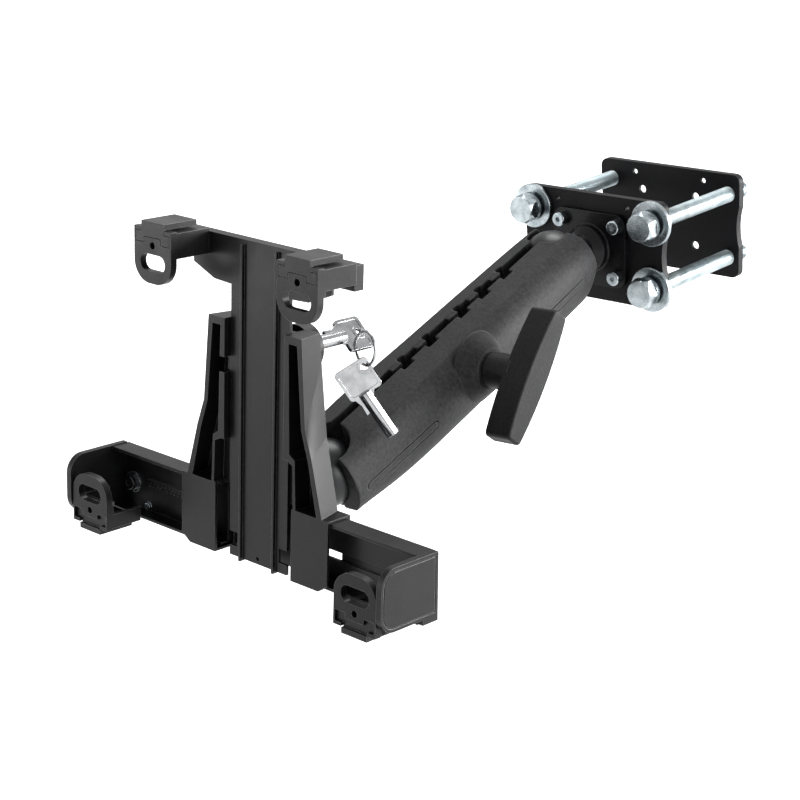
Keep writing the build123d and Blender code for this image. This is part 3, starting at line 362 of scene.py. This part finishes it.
# Threaded bolts: the CAD bolts with a slimmer shank and a rolled thread on it
BOLT_R = 0.005
ROOT_R = 0.00425
THREAD_PITCH = 0.0015
THREAD_STEPS = 28
ROOT_HALF = 0.32
CREST_HALF = 0.1
SHANK_SLACK = 0.0001
SHANK_Y0 = -0.0131
SHANK_FIND = 0.0002
# Strip bands that take the root look, a painted shade in the thread's grooves.
SHADED_ROOT_BANDS = (0, 4)
ROOT_SHADE_LOOK = 1
CREST_LOOK = 2
BOLT_X = 0.0442
BOLT_Z = 0.0205
BOLT_SPOTS = [(i * BOLT_X, j * BOLT_Z) for i in (-1, 1) for j in (-1, 1)]
BOLT_CHAMFER = 0.0009
bolt_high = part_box("clamp_bolts")[1]
THREAD_FROM = -0.004
THREAD_TO = bolt_high.y - BOLT_CHAMFER


def thread_mesh(build, x, z):
    """One rolled thread round the axis at (x, z), as a strip of root, flank, crest, flank and root."""
    turns = (THREAD_TO - THREAD_FROM) / THREAD_PITCH
    count = int(turns * THREAD_STEPS)
    rows = []
    for k in range(count + 1):
        angle = 2 * math.pi * k / THREAD_STEPS
        y = THREAD_FROM + THREAD_PITCH * k / THREAD_STEPS
        fade = min(1.0, (count - k) / THREAD_STEPS)
        crest = ROOT_R + (BOLT_R - ROOT_R) * fade
        row = []
        profile = (
            (ROOT_R, -0.5),
            (ROOT_R, -ROOT_HALF),
            (crest, -CREST_HALF),
            (crest, CREST_HALF),
            (ROOT_R, ROOT_HALF),
            (ROOT_R, 0.5),
        )
        for radius, shift in profile:
            at = (x + radius * math.cos(angle), y + shift * THREAD_PITCH, z + radius * math.sin(angle))
            row.append(build.verts.new(at))
        rows.append(row)
    for first, second in zip(rows, rows[1:]):
        for band, (a, b, c, d) in enumerate(zip(first, first[1:], second[1:], second)):
            face = build.faces.new((a, d, c, b))
            face.material_index = ROOT_SHADE_LOOK if band in SHADED_ROOT_BANDS else CREST_LOOK
            face.smooth = False


bolt_mesh = NODES["clamp_bolts"].data.copy()
build = bmesh.new()
build.from_mesh(bolt_mesh)
for vert in build.verts:
    x, z = min(BOLT_SPOTS, key=lambda spot: (vert.co.x - spot[0]) ** 2 + (vert.co.z - spot[1]) ** 2)
    away = Vector((vert.co.x - x, 0.0, vert.co.z - z))
    if vert.co.y > SHANK_Y0 and away.length > ROOT_R - SHANK_FIND:
        slim = away.normalized() * (ROOT_R - SHANK_SLACK)
        vert.co.x = x + slim.x
        vert.co.z = z + slim.z
for x, z in BOLT_SPOTS:
    thread_mesh(build, x, z)
build.to_mesh(bolt_mesh)
build.free()
bolts = bpy.data.objects.new("threaded_bolts", bolt_mesh)
bpy.context.scene.collection.objects.link(bolts)
# The root look is a painted shade: a near-black copy of the zinc, laid on the groove faces.
root_shade_look = plated("zinc_root_shade", (0.02, 0.03, 0.035), (0.05, 0.06, 0.07), 0.4, edge_radius=None)
thread_look = plated("zinc_thread", (0.36, 0.43, 0.45), (0.56, 0.62, 0.64), 0.3, edge_radius=None)
bolt_mesh.materials.append(root_shade_look)
bolt_mesh.materials.append(thread_look)
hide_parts("clamp_bolts")
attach(bolts, "clamp")


# Back plate: its open holes are countersunk behind, so they show the light through
SINK_D = 0.003
SINK_OUT = 0.0032
SINK_PAST = 0.0001
SINK_SEGMENTS = 40
BASE_HOLE = (0.0203, 0.016, 0.0026)
PILOT_HOLE = (0.026, 0.027, 0.0018)
OPEN_HOLES = [
    (i * hole_x, j * hole_z, hole_r)
    for hole_x, hole_z, hole_r in (BASE_HOLE, PILOT_HOLE)
    for i in (-1, 1)
    for j in (-1, 1)
]
plate_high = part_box("back_plate")[1]
sink_mesh = bpy.data.meshes.new("sinks")
build = bmesh.new()
for x, z, radius in OPEN_HOLES:
    made = bmesh.ops.create_cone(
        build,
        cap_ends=True,
        segments=SINK_SEGMENTS,
        radius1=radius + SINK_OUT,
        radius2=radius,
        depth=SINK_D,
    )
    place = Matrix.Translation((x, plate_high.y - SINK_D / 2 + SINK_PAST, z))
    turn = Matrix.Rotation(math.pi / 2, 4, "X")
    bmesh.ops.transform(build, matrix=place @ turn, verts=made["verts"])
build.to_mesh(sink_mesh)
build.free()
sinks = bpy.data.objects.new("sinks", sink_mesh)
bpy.context.scene.collection.objects.link(sinks)
rear_plate = bpy.data.objects.new("sunk_back_plate", NODES["back_plate"].data.copy())
bpy.context.scene.collection.objects.link(rear_plate)
cut = rear_plate.modifiers.new("cut", "BOOLEAN")
cut.operation = "DIFFERENCE"
cut.solver = "EXACT"
cut.object = sinks
bpy.context.view_layer.update()
cut_plate = rear_plate.evaluated_get(bpy.context.evaluated_depsgraph_get())
sunk_mesh = bpy.data.meshes.new_from_object(cut_plate)
rear_plate.modifiers.clear()
rear_plate.data = sunk_mesh
bpy.data.objects.remove(sinks)
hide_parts("back_plate")
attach(rear_plate, "back_clamp")


# Studio: pale floor, white backdrop and soft lights
def sees_background(nodes, links):
    """Is 1 for camera, glossy and transmission rays, and 0 for the rays that light the object."""
    rays = nodes.new("ShaderNodeLightPath")
    pair = nodes.new("ShaderNodeMath")
    pair.operation = "MAXIMUM"
    links.new(rays.outputs["Is Camera Ray"], pair.inputs[0])
    links.new(rays.outputs["Is Glossy Ray"], pair.inputs[1])
    every = nodes.new("ShaderNodeMath")
    every.operation = "MAXIMUM"
    links.new(pair.outputs[0], every.inputs[0])
    links.new(rays.outputs["Is Transmission Ray"], every.inputs[1])
    return every.outputs[0]


def soft_light(name, at, towards, size, power, tall=None):
    data = bpy.data.lights.new(name, "AREA")
    data.shape = "RECTANGLE"
    data.size = size
    data.size_y = tall or size
    data.energy = power
    lamp = bpy.data.objects.new(name, data)
    bpy.context.scene.collection.objects.link(lamp)
    lamp.location = at
    lamp.rotation_mode = "QUATERNION"
    lamp.rotation_quaternion = (Vector(towards) - Vector(at)).to_track_quat("-Z", "Y")


CENTRE = (0.0, -0.12, -0.01)
REAR_BALL = (0.02, -0.03, 0.0)
soft_light("right_back", at=(1.25, 1.25, -0.08), towards=CENTRE, size=1.4, power=150.0, tall=1.2)
soft_light("right_side", at=(1.9, -0.1, 0.45), towards=CENTRE, size=0.9, power=26.0)
soft_light("top_back", at=(-0.35, 0.7, 1.5), towards=CENTRE, size=0.9, power=22.0)
soft_light("front_left", at=(-1.1, -1.6, 0.7), towards=CENTRE, size=0.7, power=5.0)
soft_light("low_left", at=(-1.3, -1.5, 0.0), towards=REAR_BALL, size=0.5, power=6.0, tall=0.25)

# The world: a dim room that lights the object, and white where the background is seen
ROOM_STRENGTH = 0.32
ROOM_LOW = (0.42, (0.30, 0.30, 0.30, 1.0))
ROOM_MIDDLE = (0.55, (0.10, 0.105, 0.11, 1.0))
ROOM_HIGH = (0.9, (0.9, 0.9, 0.9, 1.0))
world = bpy.data.worlds.new("studio")
bpy.context.scene.world = world
world.use_nodes = True
sky = world.node_tree.nodes
sky_links = world.node_tree.links
room = sky["Background"]
room.inputs["Strength"].default_value = ROOM_STRENGTH
around = sky.new("ShaderNodeTexCoord")
split = sky.new("ShaderNodeSeparateXYZ")
sky_links.new(around.outputs["Generated"], split.inputs["Vector"])
bands = sky.new("ShaderNodeValToRGB")
for stop, (position, color) in zip(bands.color_ramp.elements, (ROOM_LOW, ROOM_HIGH)):
    stop.position = position
    stop.color = color
middle = bands.color_ramp.elements.new(ROOM_MIDDLE[0])
middle.color = ROOM_MIDDLE[1]
height = sky.new("ShaderNodeMapRange")
height.inputs["From Min"].default_value = -1.0
sky_links.new(split.outputs["Z"], height.inputs["Value"])
sky_links.new(height.outputs["Result"], bands.inputs["Fac"])
sky_links.new(bands.outputs["Color"], room.inputs["Color"])
seen = sky.new("ShaderNodeBackground")
seen.inputs["Color"].default_value = (1.0, 1.0, 1.0, 1.0)
seen.inputs["Strength"].default_value = 1.0
choose = sky.new("ShaderNodeMixShader")
sky_links.new(sees_background(sky, sky_links), choose.inputs["Fac"])
sky_links.new(room.outputs["Background"], choose.inputs[1])
sky_links.new(seen.outputs["Background"], choose.inputs[2])
sky_links.new(choose.outputs["Shader"], sky["World Output"].inputs["Surface"])

# The floor: pale, with a glow added where the background is seen
FLOOR_DROP = 0.06
FLOOR_HALF = 6.0
FLOOR_Z = cad_low.z - FLOOR_DROP
FLOOR_COLOR = (0.8, 0.8, 0.8, 1.0)
FLOOR_GLOW = (0.85, 0.85, 0.85, 1.0)
FLOOR_ROUGH = 0.9
floor_mesh = bpy.data.meshes.new("floor")
corners = [(i * FLOOR_HALF, j * FLOOR_HALF, FLOOR_Z) for i, j in ((-1, -1), (1, -1), (1, 1), (-1, 1))]
floor_mesh.from_pydata(corners, [], [(0, 1, 2, 3)])
floor = bpy.data.objects.new("floor", floor_mesh)
bpy.context.scene.collection.objects.link(floor)
floor_look, floor_nodes, floor_links = new_material("pale_floor")
floor_shader = floor_nodes["Principled BSDF"]
floor_shader.inputs["Base Color"].default_value = FLOOR_COLOR
floor_shader.inputs["Roughness"].default_value = FLOOR_ROUGH
floor_white = floor_nodes.new("ShaderNodeEmission")
floor_white.inputs["Color"].default_value = FLOOR_GLOW
floor_links.new(sees_background(floor_nodes, floor_links), floor_white.inputs["Strength"])
floor_sum = floor_nodes.new("ShaderNodeAddShader")
floor_links.new(floor_shader.outputs["BSDF"], floor_sum.inputs[0])
floor_links.new(floor_white.outputs["Emission"], floor_sum.inputs[1])
floor_links.new(floor_sum.outputs["Shader"], floor_nodes["Material Output"].inputs["Surface"])
floor_mesh.materials.append(floor_look)

bpy.context.view_layer.update()
